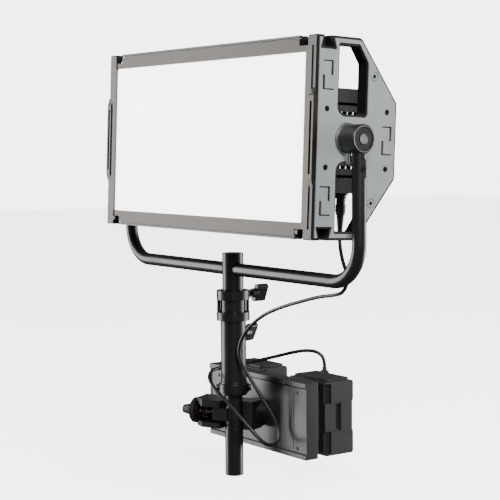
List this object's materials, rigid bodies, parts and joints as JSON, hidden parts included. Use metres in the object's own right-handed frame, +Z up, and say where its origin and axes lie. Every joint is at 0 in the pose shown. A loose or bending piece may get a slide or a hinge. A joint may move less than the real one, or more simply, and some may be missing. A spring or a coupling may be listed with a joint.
{
  "type": "led panel light",
  "caption": "Rectangular soft LED panel in a round-tube tilting yoke, on a clamped riser with a battery box and its power cable",
  "frame": {"origin": "centre of the riser tube's lower end", "axes": "+Z up along the riser, the lit face looks towards -Y, X runs across the panel along the tilt axle"},
  "size_m": [0.7038, 0.2208, 0.723],
  "materials": {
    "black_metal": "satin black powder coat",
    "black_alloy": "satin black paint on cast alloy",
    "dark_grey_metal": "satin dark grey paint",
    "frame_metal": "satin warm grey metallic paint",
    "skin_paint": "smooth pale blue-grey paint",
    "plated_steel": "bright plated steel",
    "pale_metal": "machined and lightly brushed",
    "black_plastic": "matt black moulded plastic",
    "battery_plastic": "dark green-grey textured plastic",
    "diffuser_plastic": "milky translucent sheet",
    "white_plastic": "matt white reflector",
    "seal_rubber": "soft black rubber",
    "board": "solder-masked circuit board",
    "chip": "phosphor-coated chips",
    "cell": "shrink-wrapped cells",
    "screen": "smooth dark window",
    "cable": "soft black cable sheath"
  },
  "bodies": {
    "stand": {"riser_tube": "black_metal", "joint_ring": "black_metal", "joint_ring_screws": "plated_steel", "receiver_sleeve": "black_metal", "receiver_collar": "black_metal", "clamp_frame": "black_alloy", "clamp_boss": "black_alloy", "battery_box_case": "dark_grey_metal", "battery_box_front": "dark_grey_metal", "battery_box_screws": "plated_steel", "power_board": "board", "v_plates": "black_plastic", "main_lead": "cable", "battery_lead": "cable"},
    "yoke": {"yoke_tube": "black_metal", "yoke_post": "black_metal", "yoke_hubs": "black_alloy", "hub_cap": "pale_metal", "hub_pins": "plated_steel", "leg_screws": "plated_steel", "head_lead": "cable"},
    "head": {"side_frame_right": "black_alloy", "side_frame_left": "black_alloy", "side_skins": "skin_paint", "side_screws": "plated_steel", "front_bar_top": "frame_metal", "front_bar_bottom": "frame_metal", "front_rails": "frame_metal", "diffuser": "diffuser_plastic", "diffuser_gasket": "seal_rubber", "light_box": "white_plastic", "led_boards": "board", "led_chips": "chip", "heat_sink": "pale_metal", "back_cover": "dark_grey_metal", "control_housing": "dark_grey_metal", "control_panel": "black_plastic", "display": "screen", "driver_board": "board", "power_inlet": "black_plastic", "cable_plug_head": "black_plastic", "tilt_shafts": "plated_steel", "tilt_flanges": "pale_metal"},
    "battery_left_pack": {"battery_left": "battery_plastic", "battery_cells_left": "cell"},
    "battery_right_pack": {"battery_right": "battery_plastic", "battery_cells_right": "cell", "cable_plug_battery": "black_plastic"},
    "knob_upper": {"tee_knob_upper": "black_metal"},
    "knob_lower": {"tee_knob_lower": "black_metal"},
    "jaw": {"clamp_jaw": "dark_grey_metal"},
    "handle": {"clamp_handle": "black_plastic"},
    "lever": {"tilt_lever": "black_plastic"},
    "dimmer": {"dimmer_knob": "black_plastic"},
    "colour": {"colour_knob": "black_plastic"},
    "button": {"menu_button": "black_plastic"},
    "switch": {"power_switch": "black_plastic"},
    "pin_right": {"plunger_right": "plated_steel"},
    "pin_left": {"plunger_left": "plated_steel"}
  },
  "joints": [
    {"name": "yoke_pan", "type": "hinge", "parent": "stand", "child": "yoke", "pos_m": [0, 0, 0.316], "axis": [0, 0, 1], "range_deg": [-60, 60], "deforming": ["main_lead"]},
    {"name": "head_tilt", "type": "hinge", "parent": "yoke", "child": "head", "pos_m": [0, 0, 0.568], "axis": [1, 0, 0], "range_deg": [-45, 45], "deforming": ["head_lead"]},
    {"name": "lever_turn", "type": "hinge", "parent": "yoke", "child": "lever", "pos_m": [0, 0, 0.568], "axis": [1, 0, 0], "range_deg": [-30, 40]},
    {"name": "knob_upper_turn", "type": "hinge", "parent": "stand", "child": "knob_upper", "pos_m": [0, 0.03, 0.308], "axis": [0, 1, 0], "range_deg": [0, 720]},
    {"name": "knob_lower_turn", "type": "hinge", "parent": "stand", "child": "knob_lower", "pos_m": [0, 0, 0.239], "axis": [-0.342, 0.9397, 0], "range_deg": [0, 720]},
    {"name": "jaw_slide", "type": "slide", "parent": "stand", "child": "jaw", "axis": [-0.9135, -0.4067, 0], "range_m": [0, 0.008]},
    {"name": "handle_turn", "type": "hinge", "parent": "jaw", "child": "handle", "pos_m": [-0.05563, -0.02258, 0.104], "axis": [-0.9135, -0.4067, 0], "range_deg": [0, 1440]},
    {"name": "battery_left_slide", "type": "slide", "parent": "stand", "child": "battery_left_pack", "axis": [0, 0, 1], "range_m": [0, 0.028]},
    {"name": "battery_right_slide", "type": "slide", "parent": "stand", "child": "battery_right_pack", "axis": [0, 0, 1], "range_m": [0, 0.028], "deforming": ["battery_lead"]},
    {"name": "dimmer_turn", "type": "hinge", "parent": "head", "child": "dimmer", "pos_m": [-0.062, 0.08841, 0.59227], "axis": [0, 0.9991, -0.0424], "continuous": true},
    {"name": "colour_turn", "type": "hinge", "parent": "head", "child": "colour", "pos_m": [-0.062, 0.0862, 0.54032], "axis": [0, 0.9991, -0.0424], "continuous": true},
    {"name": "button_press", "type": "slide", "parent": "head", "child": "button", "axis": [0, -0.9991, 0.0424], "range_m": [0, 0.0015], "stiffness_N_per_m": 300, "springref_m": -0.001},
    {"name": "switch_rock", "type": "hinge", "parent": "head", "child": "switch", "pos_m": [-0.1, 0.0827, 0.52846], "axis": [1, 0, 0], "range_deg": [0, 17]},
    {"name": "pin_right_pull", "type": "slide", "parent": "head", "child": "pin_right", "axis": [0, -0.9991, 0.0424], "range_m": [0, 0.004], "stiffness_N_per_m": 400, "springref_m": -0.001},
    {"name": "pin_left_pull", "type": "slide", "parent": "head", "child": "pin_left", "axis": [0, -0.9991, 0.0424], "range_m": [0, 0.004], "stiffness_N_per_m": 400, "springref_m": -0.001}
  ],
  "couplings": [
    {"joint": "handle_turn", "follows": "jaw_slide", "rad_per_m": 3141.5}
  ]
}
